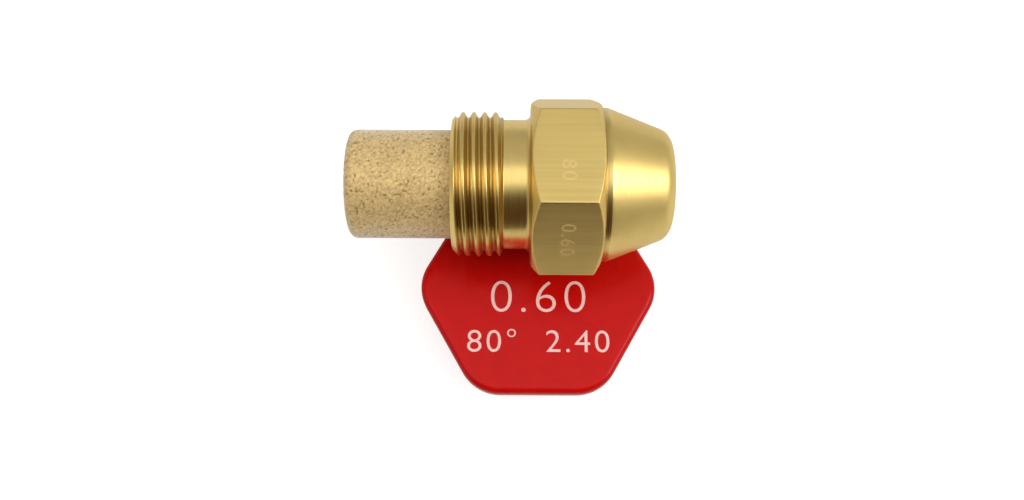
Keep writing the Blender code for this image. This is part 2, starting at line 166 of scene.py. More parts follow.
# Lines printed on the lid, with their places counted from its middle
FILM_THICKNESS = 0.03 * MM
UPPER_LINE_WIDTH = 9.8 * MM
UPPER_LINE_HEIGHT = 3.3 * MM
UPPER_LINE_WEIGHT = -0.016
UPPER_LINE_Y = -1.15 * MM
LOWER_LINE_WIDTH = 14.6 * MM
LOWER_LINE_HEIGHT = 2.4 * MM
LOWER_LINE_WEIGHT = -0.006
LOWER_LINE_Y = -5.80 * MM
LETTER_SPACING = 1.15
LETTER_DEPTH = 0.5
LETTER_CURVE_STEPS = 8

# Fineness of the surfaces, and the share of a stretch that a rounded corner may take
ARC_ROWS = 5
ARC_ROW = 0.25 * MM
ARC_REACH = 0.49
BODY_CORNER_COLUMNS = 20
BODY_FLAT_COLUMNS = 44
BODY_CORNER_SPREAD = math.radians(0.9)
THREAD_ROW = 0.045 * MM
FILTER_COLUMNS = 410
FILTER_ROW = 0.088 * MM
FILTER_END_ROW = 0.12 * MM
INNER_COLUMNS = 160
LID_ARC_COLUMNS = 24
LID_SIDE_COLUMNS = 16
LID_TOP_SHARES = (0.0, 0.2, 0.5, 0.8, 0.95)
BEAD_SHARE = 0.9
GRAIN_SEED = 7

# Patterns of the materials. The rings and the lines are coarser than real ones, which are too fine to show
TURNING_RINGS_MM = 0.25
DRAWING_LINES_MM = 0.30
DRAWING_STRETCH = 0.02
TARNISH_MM = 2.5
STAMP_GRIT_MM = 0.2
INNER_RINGS_MM = 0.15
LAPPING_MM = 0.4
SINK_MARKS_MM = 6.0
HANDLING_MM = 1.2
INK_FILM_MM = 0.5
NOISE_SPAN = (0.3, 0.7)
TOOLING_SPAN = (0.25, 0.75)
# Share of a pore's depth over which painted shade darkens the filter
PORE_SHADE_SPAN = (0.16, 0.52)

# Oil stain and painted shade, as shares of the full stain colour: a light oil stain over the whole thread,
# painted shade that deepens down the flanks into the roots, and painted shade on the collar and in the
# fillet next to the hexagon; and the shares of the thread's depth over which the shade gathers
THREAD_STAIN = 0.13
PAINTED_FLANK_SHADE = 0.17
FLANK_RISE = 1.8
PAINTED_ROOT_SHADE = 0.14
ROOT_START = 0.6
ROOT_LENGTH = 0.3
# Painted shade on the collar and in the fillet, next to the hexagon's faces
PAINTED_COLLAR_SHADE = 0.4
PAINTED_FILLET_SHADE = 0.2

# Roughness added on the hexagon, in parts of what the nose has
FLAT_SATIN = 0.8
CHAMFER_SATIN = 2.0

# Stage, in metres
FLOOR_HALF = 2.0
CARD_HALF_WIDTH = 0.055
CARD_HEIGHT = 0.11
CARD_AHEAD = 0.065
SOFT_BOX_SIZE = (1.4, 0.34)
SOFT_BOX_PLACE = (0.0, -0.05, 0.6)
NOSE_LAMP_SIZE = (0.34, 0.30)
NOSE_LAMP_PLACE = (0.50, -0.09, 0.47)
FILL_LAMP_SIZE = (0.9, 0.9)
FILL_LAMP_PLACE = (0.0, -0.1, 0.7)

# Dark patch of the room in front: its middle, and where its shade starts and is full
PATCH_RISE_DEG = 15.0
PATCH_ASIDE_DEG = 8.0
PATCH_OUTER_DEG = 57.0
PATCH_INNER_DEG = 24.0

# Photograph's frame and the place of its camera
IMAGE_WIDTH = 1024
IMAGE_HEIGHT = 500
FOCAL_PIXELS = 990.0
AXIS_ROW = 184.6
CAMERA_REACH = 98.0 * MM
CAMERA_RAY_DEG = 70.0
CAMERA_TURN_DEG = 0.3
CAMERA_AHEAD_OF_SEAT = 5.80 * MM
SENSOR_WIDTH_MM = 36.0
CLIP_START = 1.0 * MM


def linear(code):
    """Linear colour of an sRGB hex value."""
    parts = [int(code[i:i + 2], 16) / 255.0 for i in (1, 3, 5)]
    return tuple(p / 12.92 if p <= 0.04045 else ((p + 0.055) / 1.055) ** 2.4 for p in parts)


def per(size_mm):
    """Pattern scale on Object coordinates for a repeat of so many millimetres."""
    return 1.0 / (size_mm * MM)


# Surfaces

def arc_corner(before, corner, after, rounding, arc_row):
    """Rows of a circular arc that rounds one corner on every column, about arc_row apart.

    The arc is a rational curve from a point on the stretch before to a point on the stretch after, drawn
    to the corner with a weight equal to the sine of half the corner's angle, which makes it a circle.
    """
    back = before - corner
    on = after - corner
    back_length = np.linalg.norm(back, axis=-1, keepdims=True)
    on_length = np.linalg.norm(on, axis=-1, keepdims=True)
    back = back / back_length
    on = on / on_length
    half = np.arccos(np.clip((back * on).sum(axis=-1, keepdims=True), -1.0, 1.0)) / 2.0
    reach = np.minimum(rounding / np.tan(half), ARC_REACH * np.minimum(back_length, on_length))
    start = corner + back * reach
    end = corner + on * reach
    weight = np.sin(half)
    count = max(ARC_ROWS, math.ceil(rounding * math.pi / 2.0 / arc_row))
    t = np.linspace(0.0, 1.0, count)[:, None, None]
    share_start = (1.0 - t) ** 2
    share_corner = 2.0 * weight * t * (1.0 - t)
    share_end = t ** 2
    total = share_start + share_corner + share_end
    return (share_start * start + share_corner * corner + share_end * end) / total


def profile_rows(corners, columns, closed, arc_row=ARC_ROW):
    """Rows (x, r) of a profile with rounded corners, for every column.

    A corner is (x, r, rounding, steps), where x and r may change from column to column and steps is the
    number of rows on the straight stretch that follows. An open profile starts and ends on the axis.
    """
    count = len(corners)
    points = np.stack([
        np.stack([np.broadcast_to(c[0], columns), np.broadcast_to(c[1], columns)], axis=-1)
        for c in corners
    ])
    arcs = []
    for k, corner in enumerate(corners):
        is_end = not closed and k in (0, count - 1)
        if is_end or corner[2] == 0.0:
            arcs.append(points[k][None])
        else:
            following = points[(k + 1) % count]
            arcs.append(arc_corner(points[k - 1], points[k], following, corner[2], arc_row))
    rows = []
    for k, corner in enumerate(corners):
        rows.append(arcs[k])
        if closed or k < count - 1:
            t = (np.arange(1, corner[3]) / corner[3])[:, None, None]
            rows.append(arcs[k][-1] * (1.0 - t) + arcs[(k + 1) % count][0] * t)
    return np.concatenate(rows)


def spun(rows, angles):
    """Points of a profile turned round the nozzle's axis; the angle runs from +Z towards +Y."""
    x = rows[..., 0]
    r = rows[..., 1]
    return np.stack([SEAT_X + x, AXIS_Y + r * np.sin(angles), AXIS_Z + r * np.cos(angles)], axis=-1)


def grid_mesh(name, points, closed, attributes=None):
    """Mesh of a grid of points whose columns close on themselves.

    Where the rows close too the grid is a ring. Otherwise its first and last rows are poles, each drawn
    to one point.
    """
    rows, columns = points.shape[:2]
    if closed:
        number = np.arange(rows * columns).reshape(rows, columns)
        keep = points.reshape(-1, 3)
        quads_from = number
        quads_to = np.roll(number, -1, axis=0)
    else:
        inner = (rows - 2) * columns
        number = 1 + np.arange(inner).reshape(rows - 2, columns)
        keep = np.concatenate([points[:1, 0], points[1:-1].reshape(-1, 3), points[-1:, 0]])
        quads_from = number[:-1]
        quads_to = number[1:]
    following = np.roll(quads_from, -1, axis=1)
    following_to = np.roll(quads_to, -1, axis=1)
    faces = np.stack([quads_from, quads_to, following_to, following], axis=-1).reshape(-1, 4).tolist()
    if not closed:
        first = number[0]
        last = number[-1]
        start = np.zeros(columns, int)
        end = np.full(columns, inner + 1)
        faces += np.stack([start, first, np.roll(first, -1)], axis=-1).tolist()
        faces += np.stack([last, end, np.roll(last, -1)], axis=-1).tolist()
    mesh = bpy.data.meshes.new(name)
    mesh.from_pydata(keep.tolist(), [], faces)
    for label, values in (attributes or {}).items():
        if closed:
            flat = values.reshape(-1)
        else:
            flat = np.concatenate([values[:1, 0], values[1:-1].reshape(-1), values[-1:, 0]])
        layer = mesh.attributes.new(label, "FLOAT", "POINT")
        layer.data.foreach_set("value", flat.astype(np.float32))
    mesh.shade_smooth()
    return mesh


def piece(name, mesh, material, body, replaced=None):
    """Object of a finished mesh that rides on a body, takes a slot and may stand for a solid."""
    made = bpy.data.objects.new(name, mesh)
    mesh.materials.clear()
    mesh.materials.append(material)
    bpy.context.scene.collection.objects.link(made)
    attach(made, body)
    if replaced:
        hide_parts(replaced)
    return made


def hexagon_columns():
    """Angles round the hexagon, close together over its six corners and even along its flats."""
    corner = np.linspace(-1.0, 1.0, BODY_CORNER_COLUMNS, endpoint=False) * BODY_CORNER_SPREAD
    side_start = BODY_CORNER_SPREAD
    side_end = math.radians(60.0) - BODY_CORNER_SPREAD
    side = np.linspace(side_start, side_end, BODY_FLAT_COLUMNS, endpoint=False)
    sector = np.concatenate([corner, side])
    turns = math.radians(30.0) + math.radians(60.0) * np.arange(6)
    return (turns[:, None] + sector[None, :]).reshape(-1)


def hexagon_radius(angles, flat_radius, rounding):
    """Distance from the axis to a hexagon with rounded corners, with one flat square to +Z.

    On a flat it is the flat's distance over the cosine of the angle from the flat's middle. Over a corner
    it is the far crossing of the ray with the corner's circle.
    """
    sixth = math.radians(60.0)
    from_flat = np.mod(angles + sixth / 2.0, sixth) - sixth / 2.0
    on_flat = flat_radius / np.cos(from_flat)
    from_corner = np.mod(angles, sixth) - sixth / 2.0
    centre = (flat_radius - rounding) / math.cos(sixth / 2.0)
    inside = np.maximum(rounding ** 2 - (centre * np.sin(from_corner)) ** 2, 0.0)
    on_corner = centre * np.cos(from_corner) + np.sqrt(inside)
    tangent = sixth / 2.0 - math.atan((flat_radius - rounding) * math.tan(sixth / 2.0) / flat_radius)
    return np.where(np.abs(from_corner) < tangent, on_corner, on_flat)


def soft_min(a, b, width):
    """Lesser of two values, with a parabola of the given width where they cross."""
    near = np.maximum(width - np.abs(a - b), 0.0) / width
    return np.minimum(a, b) - near ** 2 * width / 4.0


def soft_max(a, b, width):
    """Greater of two values, with a parabola of the given width where they cross."""
    return -soft_min(-a, -b, width)


def thread_cut(x, angles, settings):
    """Radius of a right-hand thread with 60 degree flanks at a place along and round the shank.

    The phase is the share of a pitch from the nearest crest. The radius falls from the crest's flat along
    the flank to the root, and both bends are eased.
    """
    pitch = settings.thread_pitch
    phase = x / pitch + angles / (2.0 * math.pi) - settings.thread_start
    from_crest = np.abs(np.mod(phase + 0.5, 1.0) - 0.5) * pitch
    flank = (from_crest - settings.crest_width / 2.0) / math.tan(math.radians(30.0))
    eased = soft_max(flank, np.zeros_like(flank), settings.crest_easing)
    depth = soft_min(eased, np.full_like(flank, settings.thread_depth), settings.crest_easing)
    return THREAD_RADIUS - depth


def body_corners(hex_radius):
    """Corners of the body's profile, round the outside from the rear seat and back through the bores."""
    nose_corner = NOSE_RADIUS - (FRONT_X - NOSE_X) * NOSE_SLOPE
    rear_crease = HEX_X + (hex_radius - HEX_FACE_RADIUS) * HEX_CHAMFER
    front_crease = COLLAR_X - (hex_radius - HEX_FACE_RADIUS) * HEX_CHAMFER
    lead_rows = round(LEAD_CHAMFER / THREAD_ROW)
    thread_rows = round((THREAD_END_X - LEAD_CHAMFER) / THREAD_ROW)
    end_rows = round((NECK_X - THREAD_END_X) / THREAD_ROW)
    return [
        (0.0, SOCKET_RADIUS, BROKEN_EDGE, 2),
        (0.0, THREAD_RADIUS - LEAD_CHAMFER, BROKEN_EDGE, lead_rows),
        (LEAD_CHAMFER, THREAD_RADIUS, BROKEN_EDGE, thread_rows),
        (THREAD_END_X, THREAD_RADIUS, BROKEN_EDGE, end_rows),
        (NECK_X, NECK_RADIUS, 2.0 * BROKEN_EDGE, 4),
        (HEX_X, NECK_RADIUS, NECK_FILLET, 2),
        (HEX_X, HEX_FACE_RADIUS, HEX_EDGE_ROUNDING, 3),
        (rear_crease, hex_radius, HEX_EDGE_ROUNDING, 6),
        (front_crease, hex_radius, HEX_EDGE_ROUNDING, 3),
        (COLLAR_X, HEX_FACE_RADIUS, HEX_EDGE_ROUNDING, 2),
        (COLLAR_X, NOSE_RADIUS, BROKEN_EDGE, 3),
        (NOSE_X, NOSE_RADIUS, 2.0 * BROKEN_EDGE, 12),
        (FRONT_X, nose_corner, NOSE_EDGE_RADIUS, 2),
        (FRONT_X, MOUTH_RADIUS + MOUTH_CHAMFER, BROKEN_EDGE, 1),
        (FRONT_X - MOUTH_CHAMFER, MOUTH_RADIUS, BROKEN_EDGE, 1),
        (DISC_SEAT_X, MOUTH_RADIUS, BROKEN_EDGE, 1),
        (DISC_SEAT_X, CHAMBER_RADIUS, BROKEN_EDGE, 2),
        (CHAMBER_REAR_X, CHAMBER_RADIUS, BROKEN_EDGE, 1),
        (CHAMBER_REAR_X, SCREW_BORE_RADIUS, BROKEN_EDGE, 2),
        (SCREW_BORE_REAR_X, SCREW_BORE_RADIUS, BROKEN_EDGE, 1),
        (SCREW_BORE_REAR_X, SOCKET_RADIUS, BROKEN_EDGE, 2),
    ]


def oil_stain_and_painted_shade(x, radius, in_thread, settings):
    """Share of oil stain and painted shade at each point of the body's outside.

    In the thread a light oil stain lies all over, and painted shade grows with the depth below the crest.
    Painted shade also darkens the collar next to the hexagon, where it fades towards the nose, and the
    fillet behind the hexagon, where it fades towards the neck.
    """
    depth = np.clip((THREAD_RADIUS - radius) / settings.thread_depth, 0.0, 1.0)
    flank = np.clip(FLANK_RISE * depth, 0.0, 1.0)
    root = np.clip((depth - ROOT_START) / ROOT_LENGTH, 0.0, 1.0)
    thread = np.where(in_thread, THREAD_STAIN + PAINTED_FLANK_SHADE * flank + PAINTED_ROOT_SHADE * root, 0.0)
    collar = np.clip((NOSE_X - x) / (NOSE_X - COLLAR_X), 0.0, 1.0) * (x > COLLAR_X - BROKEN_EDGE)
    fillet = np.clip(1.0 - (HEX_X - x) / NECK_FILLET, 0.0, 1.0) * (x < HEX_X + BROKEN_EDGE)
    return np.maximum(thread, np.maximum(PAINTED_COLLAR_SHADE * collar, PAINTED_FILLET_SHADE * fillet))


def grain_field(points, size):
    """Distance to the nearest grain's middle, as a share of the grain size, and that grain's own tone.

    Grain middles stand one in each cube of a lattice, moved off its corner by a seeded random step.
    """
    low = points.reshape(-1, 3).min(axis=0) - 2.0 * size
    high = points.reshape(-1, 3).max(axis=0) + 2.0 * size
    shape = np.ceil((high - low) / size).astype(int) + 1
    draw = np.random.default_rng(GRAIN_SEED)
    step = draw.random((*shape, 3))
    tone = draw.random(shape)
    place = (points - low) / size
    cell = np.floor(place).astype(int)
    best = np.full(points.shape[:-1], np.inf)
    best_tone = np.zeros(points.shape[:-1])
    for offset in np.ndindex(3, 3, 3):
        near = cell + np.array(offset) - 1
        pick = (near[..., 0], near[..., 1], near[..., 2])
        distance = np.linalg.norm(place - near - step[pick], axis=-1)
        closer = distance < best
        best = np.where(closer, distance, best)
        best_tone = np.where(closer, tone[pick], best_tone)
    return best, best_tone


def filter_rows(columns):
    """Profile of the filter cup: closed rear end, outside, rim, inside and floor."""
    inner = FILTER_RADIUS - FILTER_WALL
    end_steps = round(FILTER_RADIUS / FILTER_END_ROW)
    side_steps = round((FILTER_RIM_X - FILTER_END_X) / FILTER_ROW)
    floor_x = FILTER_END_X + FILTER_WALL
    corners = [
        (FILTER_END_X, 0.0, 0.0, end_steps),
        (FILTER_END_X, FILTER_RADIUS, FILTER_END_RADIUS, side_steps),
        (FILTER_RIM_X, FILTER_RADIUS, BROKEN_EDGE, 2),
        (FILTER_RIM_X, inner, BROKEN_EDGE, 4),
        (floor_x, inner, FILTER_FLOOR_RADIUS, 2),
        (floor_x, 0.0, 0.0, 1),
    ]
    return profile_rows(corners, columns, False, FILTER_ROW)


def sink(rows, depth):
    """Profile rows moved into the wall, square to the profile, by a depth for each point."""
    along = np.gradient(rows, axis=0)
    length = np.maximum(np.linalg.norm(along, axis=-1), 1e-12)
    moved = rows.copy()
    moved[..., 0] += depth * along[..., 1] / length
    moved[..., 1] -= depth * along[..., 0] / length
    moved[..., 1] = np.maximum(moved[..., 1], 0.0)
    return moved


def lid_outline():
    """Middle of the corner circle and outward direction for each column round the lid.

    A point of the outline, set in by e, is the middle plus the direction times the corner radius less e.
    Along a side the direction stays square to it and the middle moves from one corner to the next.
    """
    reach = (LID_FLAT_RADIUS - LID_CORNER_RADIUS) / math.cos(math.radians(30.0))
    corner_turn = math.radians(60.0) * np.arange(6)[:, None]
    arc_share = np.linspace(-0.5, 0.5, LID_ARC_COLUMNS)[None, :]
    side_share = np.arange(1, LID_SIDE_COLUMNS)[None, :] / LID_SIDE_COLUMNS
    arc_turn = corner_turn + math.radians(60.0) * arc_share
    side_turn = corner_turn + math.radians(30.0) + 0.0 * side_share
    turn = np.concatenate([arc_turn, side_turn], axis=1)
    travel = np.concatenate([0.0 * arc_share, side_share], axis=1)
    this = np.stack([np.cos(corner_turn), np.sin(corner_turn)], axis=-1) * reach
    following = np.roll(this, -1, axis=0)
    middle = this * (1.0 - travel[..., None]) + following * travel[..., None]
    direction = np.stack([np.cos(turn), np.sin(turn)], axis=-1)
    return middle.reshape(-1, 2), direction.reshape(-1, 2)


def lid_rows():
    """Rows of the lid: top face, rounded edge, side, underside, plug with its bead, and the hollow."""
    middle, direction = lid_outline()
    head_z = PLUG_DEPTH

    def outline(inset, z):
        flat = middle + direction * (LID_CORNER_RADIUS - inset)
        return np.concatenate([flat, np.full((len(flat), 1), z)], axis=-1)[None]

    def ring(radius, z):
        edge = middle + direction * LID_CORNER_RADIUS
        unit = edge / np.linalg.norm(edge, axis=-1, keepdims=True)
        return np.concatenate([unit * radius, np.full((len(unit), 1), z)], axis=-1)[None]

    def scaled(row, share):
        return row * np.array([share, share, 1.0])

    rim = outline(LID_EDGE_RADIUS, LID_TOP)
    rows = [scaled(rim, share) for share in LID_TOP_SHARES]
    for turn in np.linspace(0.0, math.pi / 2.0, 2 * ARC_ROWS):
        inset = LID_EDGE_RADIUS * (1.0 - math.sin(turn))
        rows.append(outline(inset, LID_TOP - LID_EDGE_RADIUS * (1.0 - math.cos(turn))))
    for turn in np.linspace(0.0, math.pi / 2.0, ARC_ROWS):
        inset = LID_LOWER_EDGE_RADIUS * (1.0 - math.cos(turn))
        rows.append(outline(inset, head_z + LID_LOWER_EDGE_RADIUS * (1.0 - math.sin(turn))))
    bead_z = PLUG_DEPTH / 2.0
    inner = PLUG_RADIUS - PLUG_WALL
    rows += [
        ring(PLUG_RADIUS + BROKEN_EDGE, head_z),
        ring(PLUG_RADIUS, head_z - BROKEN_EDGE),
        ring(PLUG_RADIUS, bead_z + BEAD_LENGTH / 2.0),
    ]
    for share in np.linspace(-BEAD_SHARE, BEAD_SHARE, 2 * ARC_ROWS):
        height = BEAD_HEIGHT * math.cos(share * math.pi / 2.0) ** 2
        rows.append(ring(PLUG_RADIUS + height, bead_z - share * BEAD_LENGTH / 2.0))
    rows += [
        ring(PLUG_RADIUS, bead_z - BEAD_LENGTH / 2.0),
        ring(PLUG_RADIUS, PLUG_LEAD_CHAMFER + BROKEN_EDGE),
        ring(PLUG_RADIUS - BROKEN_EDGE, PLUG_LEAD_CHAMFER - BROKEN_EDGE),
        ring(PLUG_RADIUS - PLUG_LEAD_CHAMFER + BROKEN_EDGE, BROKEN_EDGE),
        ring(PLUG_RADIUS - PLUG_LEAD_CHAMFER - BROKEN_EDGE, 0.0),
        ring(inner + BROKEN_EDGE, 0.0),
        ring(inner, BROKEN_EDGE),
        ring(inner, head_z - BROKEN_EDGE),
        ring(inner - BROKEN_EDGE, head_z),
        scaled(ring(inner, head_z), 0.5),
        scaled(ring(inner, head_z), 0.0),
    ]
    return np.concatenate(rows)


def text_mesh(name, words, width, height, thickness, weight, place):
    """Mesh of a line of plain numbers, fitted to a width and height, thickened and then placed.

    The weight makes the strokes bolder, or thinner where it is below zero, as a share of the letters' size.
    """
    curve = bpy.data.curves.new(name, "FONT")
    curve.body = words
    curve.align_x = "CENTER"
    curve.offset = weight
    curve.extrude = LETTER_DEPTH
    curve.space_character = LETTER_SPACING
    curve.resolution_u = LETTER_CURVE_STEPS
    holder = bpy.data.objects.new(name, curve)
    bpy.context.scene.collection.objects.link(holder)
    bpy.context.view_layer.update()
    shown = holder.evaluated_get(bpy.context.evaluated_depsgraph_get())
    mesh = bpy.data.meshes.new_from_object(shown)
    bpy.data.objects.remove(holder, do_unlink=True)
    points = np.empty(len(mesh.vertices) * 3)
    mesh.vertices.foreach_get("co", points)
    points = points.reshape(-1, 3)
    low = points.min(axis=0)
    high = points.max(axis=0)
    points = (points - (low + high) / 2.0) / (high - low) * np.array([width, height, thickness])
    mesh.vertices.foreach_set("co", points.reshape(-1))
    mesh.transform(place)
    mesh.update()
    return mesh


# Materials

def feed(tree, made, inputs):
    """Give a node's inputs their values, each a constant or a link from another node's output."""
    for label, value in inputs.items():
        if isinstance(value, bpy.types.NodeSocket):
            tree.links.new(value, made.inputs[label])
        else:
            made.inputs[label].default_value = value


def node(tree, kind, inputs=None, **settings):
    """Node of a kind with its settings and inputs."""
    made = tree.nodes.new(kind)
    for label, value in settings.items():
        setattr(made, label, value)
    feed(tree, made, inputs or {})
    return made


def blank_material(name):
    """New material with its node tree and its Principled shader."""
    material = bpy.data.materials.new(name)
    material.use_nodes = True
    return material, material.node_tree, material.node_tree.nodes["Principled BSDF"]


def object_place(tree):
    """Place on the object, in metres."""
    return node(tree, "ShaderNodeTexCoord").outputs["Object"]


def carried(tree, name):
    """Value that the mesh carries from point to point."""
    return node(tree, "ShaderNodeAttribute", attribute_name=name).outputs["Fac"]


def noise(tree, vector, size_mm, detail):
    """Noise with patches of so many millimetres."""
    inputs = {"Vector": vector, "Scale": per(size_mm), "Detail": detail}
    return node(tree, "ShaderNodeTexNoise", inputs).outputs["Fac"]


def ring_noise(tree, place, size_mm, detail):
    """Noise along the nozzle's axis alone, which makes rings round it."""
    axes = node(tree, "ShaderNodeSeparateXYZ", {"Vector": place})
    inputs = {"W": axes.outputs["X"], "Scale": per(size_mm), "Detail": detail}
    return node(tree, "ShaderNodeTexNoise", inputs, noise_dimensions="1D").outputs["Fac"]


def ranged(tree, value, low, high, span=(0.0, 1.0)):
    """Value that runs from low to high while the given one runs over a span."""
    inputs = {"Value": value, "From Min": span[0], "From Max": span[1], "To Min": low, "To Max": high}
    return node(tree, "ShaderNodeMapRange", inputs).outputs["Result"]


def shaded(tree, colour, factor):
    """Colour times a factor that changes over the surface."""
    return node(tree, "ShaderNodeVectorMath", {0: tuple(colour), "Scale": factor},
                operation="SCALE").outputs["Vector"]


def machined_brass(settings):
    """Free-cutting brass, turned on a lathe from drawn hexagon bar.

    The turned parts are bright with fine rings round the axis, the flats keep the straight drawing lines of
    the bar, and the nose, the flats and the chamfers are duller. Oil has stained the thread a little brown,
    and a deeper brown in the thread's roots, on the collar next to the hexagon and in the fillet behind it
    is painted shade.
    """
    material, tree, shader = blank_material("turned_brass")
    place = object_place(tree)
    drawn = carried(tree, "drawn_flat")
    rings = ring_noise(tree, place, TURNING_RINGS_MM, 3.0)
    along = node(tree, "ShaderNodeMapping", {"Vector": place, "Scale": (DRAWING_STRETCH, 1.0, 1.0)})
    lines = noise(tree, along.outputs["Vector"], DRAWING_LINES_MM, 2.0)
    tarnish = noise(tree, place, TARNISH_MM, 2.0)
    tooling = node(tree, "ShaderNodeMix", {"Factor": drawn, "A": rings, "B": lines}).outputs["Result"]
    cloud = node(tree, "ShaderNodeMix", {"Factor": drawn, "A": tarnish, "B": lines}).outputs["Result"]
    clean = shaded(tree, settings.brass, ranged(tree, cloud, 0.95, 1.02, NOISE_SPAN))
    # The stain colour paints oil on the thread and painted shade in its roots, on the collar and in the
    # fillet
    stained_and_shaded = node(tree, "ShaderNodeMix", {"Factor": carried(tree, "stain_and_shade"), "A": clean,
                                           "B": (*settings.stain_and_shade, 1.0)}, data_type="RGBA")
    even = ranged(tree, tooling, settings.roughness - 0.03, settings.roughness + 0.04, TOOLING_SPAN)
    rough = node(tree, "ShaderNodeMath", {0: carried(tree, "satin"), 1: settings.satin_roughness, 2: even},
                 operation="MULTIPLY_ADD")
    relief = node(tree, "ShaderNodeBump", {"Height": tooling, "Strength": 0.06, "Distance": 0.01 * MM})
    feed(tree, shader, {"Base Color": stained_and_shaded.outputs["Result"], "Roughness": rough.outputs["Value"],
                        "Normal": relief.outputs["Normal"], "Metallic": 1.0})
    return material


def stamped_brass(settings):
    """Brass pressed by a number stamp: rougher, so that it scatters the light from overhead, and paler, a
    painted highlight on the strokes.
    """
    material, tree, shader = blank_material("stamped_brass")
    grit = noise(tree, object_place(tree), STAMP_GRIT_MM, 2.0)
    shade = shaded(tree, settings.stamp_brass_and_highlight, ranged(tree, grit, 1.00, 1.10, NOISE_SPAN))
    feed(tree, shader, {"Base Color": shade, "Roughness": 0.68, "Metallic": 1.0})
    return material


def plain_brass(settings):
    """Brass of the small turned pieces inside, duller than the body and with finer rings."""
    material, tree, shader = blank_material("inner_turned_brass")
    rings = ring_noise(tree, object_place(tree), INNER_RINGS_MM, 2.0)
    relief = node(tree, "ShaderNodeBump", {"Height": rings, "Strength": 0.2, "Distance": 0.01 * MM})
    feed(tree, shader, {"Base Color": (*settings.brass, 1.0), "Roughness": ranged(tree, rings, 0.26, 0.40),
                        "Normal": relief.outputs["Normal"], "Metallic": 1.0})
    return material


def stainless_steel(settings):
    """Stainless steel, ground and lapped: a cool grey mirror, a little uneven."""
    material, tree, shader = blank_material("lapped_stainless_steel")
    lapping = noise(tree, object_place(tree), LAPPING_MM, 4.0)
    rough = ranged(tree, lapping, 0.12, 0.30)
    feed(tree, shader, {"Base Color": (*settings.steel, 1.0), "Roughness": rough, "Metallic": 1.0})
    return material


def sintered_bronze(settings):
    """Bronze powder pressed and sintered: matt sandy grains, with painted shade darkening the pores between
    them.
    """
    material, tree, shader = blank_material("sintered_bronze_grains")
    grain = shaded(tree, settings.bronze, ranged(tree, carried(tree, "tone"), 0.80, 1.14))
    # Painted shade in the pores: the colour darkens towards each pore's bottom
    pore_shade_share = ranged(tree, carried(tree, "pore"), 0.0, 1.0, PORE_SHADE_SPAN)
    mixed = node(tree, "ShaderNodeMix", {"Factor": pore_shade_share, "A": grain, "B": (*settings.pore_shade, 1.0)},
                 data_type="RGBA")
    feed(tree, shader, {"Base Color": mixed.outputs["Result"], "Metallic": 0.30, "Roughness": 0.50,
                        "Sheen Weight": 0.80, "Sheen Roughness": 0.45})
    return material


def red_plastic(settings):
    """Polypropylene, moulded in a polished tool: deep red and glossy, a little uneven from shrinking."""
    material, tree, shader = blank_material("moulded_red_polypropylene")
    place = object_place(tree)
    sink_marks = noise(tree, place, SINK_MARKS_MM, 1.0)
    handling = noise(tree, place, HANDLING_MM, 4.0)
    shade = shaded(tree, settings.plastic, ranged(tree, handling, 0.95, 1.04, NOISE_SPAN))
    relief = node(tree, "ShaderNodeBump", {"Height": sink_marks, "Strength": 0.2, "Distance": 0.06 * MM})
    feed(tree, shader, {"Base Color": shade, "Roughness": ranged(tree, handling, 0.16, 0.28),
                        "Normal": relief.outputs["Normal"], "IOR": 1.49, "Specular IOR Level": 0.15})
    return material


def printed_ink(settings):
    """Pad-printing ink: a thin matt white film through which the red shows a little unevenly."""
    material, tree, shader = blank_material("pad_printed_ink")
    film = noise(tree, object_place(tree), INK_FILM_MM, 3.0)
    shade = shaded(tree, settings.ink, ranged(tree, film, 0.90, 1.05, NOISE_SPAN))
    feed(tree, shader, {"Base Color": shade, "Roughness": 0.55})
    return material


def white_paper(settings):
    """White paper sweep that the set lies on: matt, and shown white with the object's shadow kept."""
    material, tree, shader = blank_material("white_paper")
    tree.nodes.remove(shader)
    path = node(tree, "ShaderNodeLightPath")
    mirrored = node(tree, "ShaderNodeMath", {0: path.outputs["Is Glossy Ray"],
                                             1: path.outputs["Is Transmission Ray"]}, operation="MAXIMUM")
    dim = node(tree, "ShaderNodeMath", {0: mirrored.outputs["Value"], 1: settings.mirrored_lift},
               operation="MULTIPLY")
    lift = node(tree, "ShaderNodeMath", {0: path.outputs["Is Camera Ray"], 1: settings.floor_lift,
                                         2: dim.outputs["Value"]}, operation="MULTIPLY_ADD")
    matt = node(tree, "ShaderNodeBsdfDiffuse", {"Color": (*settings.paper, 1.0)})
    glow = node(tree, "ShaderNodeEmission", {"Strength": lift.outputs["Value"]})
    both = node(tree, "ShaderNodeAddShader", {0: matt.outputs["BSDF"], 1: glow.outputs["Emission"]})
    tree.links.new(both.outputs["Shader"], tree.nodes["Material Output"].inputs["Surface"])
    return material


def dark_card(settings):
    """Brown card in front of the set, there only for the metal to mirror."""
    material, tree, shader = blank_material("brown_card")
    tree.nodes.remove(shader)
    glow = node(tree, "ShaderNodeEmission", {"Color": (*settings.card, 1.0)})
    tree.links.new(glow.outputs["Emission"], tree.nodes["Material Output"].inputs["Surface"])
    return material


# Settings

def length_setting(name, description, default):
    """Setting that holds a length in metres."""
    return bpy.props.FloatProperty(
        name=name, description=description, default=default, precision=6, unit="LENGTH")


def share_setting(name, description, default):
    """Setting that holds a share."""
    return bpy.props.FloatProperty(name=name, description=description, default=default, subtype="FACTOR")


def light_setting(name, description, default):
    """Setting that holds a brightness."""
    return bpy.props.FloatProperty(name=name, description=description, default=default)


def colour_setting(name, description, code):
    """Setting that holds a colour, given as an sRGB hex value."""
    return bpy.props.FloatVectorProperty(
        name=name, description=description, default=linear(code), size=3, subtype="COLOR")


def number_setting(name, description, default):
    """Setting that holds a line of plain numbers."""
    return bpy.props.StringProperty(name=name, description=description, default=default)


